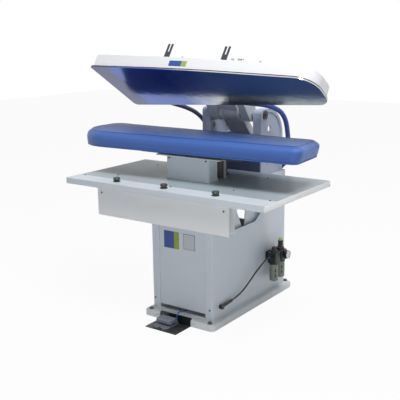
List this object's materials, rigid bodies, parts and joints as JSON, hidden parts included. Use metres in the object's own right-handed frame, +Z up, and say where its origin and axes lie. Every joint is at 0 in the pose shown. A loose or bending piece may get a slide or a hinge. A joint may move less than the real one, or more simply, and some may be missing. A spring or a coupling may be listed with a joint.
{
  "type": "steam ironing press",
  "caption": "Standing steam ironing press with a tilted polished head on a pivot, a padded buck, a work table with mushroom buttons, a cabinet, an air service unit and a foot pedal.",
  "frame": {"origin": "middle of the plinth's underside on the floor", "axes": "+X to the operator's right along the pivot, +Y to the back, +Z up"},
  "size_m": [1.5333, 1.067, 1.5323],
  "materials": {
    "white_paint": "powder coat",
    "plinth_paint": "powder coat",
    "zinc_steel": "zinc plated",
    "table_laminate": "satin",
    "blue_plates": "gloss",
    "black_plastic": "matt",
    "green_cap": "gloss",
    "dark_cap": "gloss",
    "dark_paint": "satin",
    "cast_alloy": "as cast",
    "perforated_steel": "satin",
    "felt": "felt",
    "blue_cloth": "woven",
    "cast_grey": "painted cast",
    "cast_arms": "painted cast",
    "bronze": "turned",
    "bright_steel": "ground",
    "polished_sole": "mirror polished",
    "black_rubber": "matt",
    "cylinder_alloy": "anodised",
    "spring_steel": "oiled",
    "pipe_brass": "satin",
    "blue_hose": "satin",
    "navy_hose": "satin",
    "unit_plastic": "moulded",
    "knob_red": "gloss",
    "bowl_smoke": "smoked",
    "gauge_face": "satin",
    "pedal_black": "hammered",
    "pedal_grey": "cast",
    "tube_blue": "gloss"
  },
  "bodies": {
    "base": {"base_plinth": "plinth_paint", "floor_bolts": "zinc_steel", "main_frame": "white_paint", "side_panel_left": "white_paint", "side_panel_right": "white_paint", "rear_panel": "white_paint", "front_door": "white_paint", "door_plates": "blue_plates", "table_top": "table_laminate", "control_strip": "white_paint", "apron": "white_paint", "panel_screws": "zinc_steel", "button_valves": "black_plastic", "pedestal": "white_paint", "vacuum_duct": "dark_paint", "buck_rails": "dark_paint", "steam_chest": "cast_alloy", "chest_pipes": "cast_alloy", "chest_lid": "perforated_steel", "felt_pad": "felt", "buck_cover": "blue_cloth", "cheek_left": "cast_grey", "cheek_right": "cast_grey", "shaft_bushes": "bronze", "bearing_caps": "black_plastic", "cylinder_beam": "dark_paint", "return_springs": "spring_steel", "steam_manifold": "pipe_brass", "steam_hose": "blue_hose", "return_hose": "navy_hose", "unit_bracket": "dark_paint", "unit_bodies": "unit_plastic", "unit_bowls": "bowl_smoke", "pressure_gauge": "gauge_face", "air_hose": "black_rubber", "hose_sleeve": "black_plastic", "pedal_plate": "pedal_black", "pedal_base": "pedal_black", "pedal_tube": "tube_blue"},
    "head": {"pivot_shaft": "bright_steel", "arm_right": "cast_arms", "tail_lever": "cast_arms", "sole_plate": "polished_sole", "rim_seal": "black_rubber", "head_chest": "cast_alloy", "head_casing": "white_paint", "slotted_brackets": "dark_paint", "head_fittings": "zinc_steel", "casing_plate": "blue_plates"},
    "cylinder": {"cylinder_caps": "cylinder_alloy", "cylinder_barrel": "cylinder_alloy", "tie_rods": "bright_steel"},
    "rod": {"piston_rod": "bright_steel"},
    "button_left": {"button_left": "green_cap"},
    "button_middle": {"button_middle": "dark_cap"},
    "button_right": {"button_right": "green_cap"},
    "knob": {"regulator_knob": "knob_red"},
    "treadle": {"treadle": "pedal_grey"}
  },
  "joints": [
    {"name": "head_pivot", "type": "hinge", "parent": "base", "child": "head", "pos_m": [0, 0.155, 1.122], "axis": [1, 0, 0], "range_deg": [0, 34], "stiffness_Nm_per_rad": 200, "springref_deg": -137.51, "deforming": ["steam_hose", "return_hose", "return_springs"]},
    {"name": "cylinder_swing", "type": "hinge", "parent": "base", "child": "cylinder", "pos_m": [-0.0315, 0.34, 0.562], "axis": [-1, 0, 0], "range_deg": [0, 7.95]},
    {"name": "rod_slide", "type": "slide", "parent": "cylinder", "child": "rod", "axis": [0, -0.0195, 0.9998], "range_m": [0, 0.1334]},
    {"name": "button_left_press", "type": "slide", "parent": "base", "child": "button_left", "axis": [0, 0, -1], "range_m": [0, 0.004], "stiffness_N_per_m": 500, "springref_m": -0.004},
    {"name": "button_middle_press", "type": "slide", "parent": "base", "child": "button_middle", "axis": [0, 0, -1], "range_m": [0, 0.004], "stiffness_N_per_m": 500, "springref_m": -0.004},
    {"name": "button_right_press", "type": "slide", "parent": "base", "child": "button_right", "axis": [0, 0, -1], "range_m": [0, 0.004], "stiffness_N_per_m": 500, "springref_m": -0.004},
    {"name": "treadle_press", "type": "hinge", "parent": "base", "child": "treadle", "pos_m": [-0.03, -0.486, 0.026], "axis": [1, 0, 0], "range_deg": [0, 8], "stiffness_Nm_per_rad": 3, "springref_deg": -17.19},
    {"name": "knob_turn", "type": "hinge", "parent": "base", "child": "knob", "pos_m": [0.262, 0.253, 0.33], "axis": [0, 0, 1], "range_deg": [0, 330]}
  ],
  "couplings": [
    {"joint": "cylinder_swing", "follows": "head_pivot", "ratio": 0.23233},
    {"joint": "rod_slide", "follows": "head_pivot", "m_per_rad": 0.22413}
  ]
}
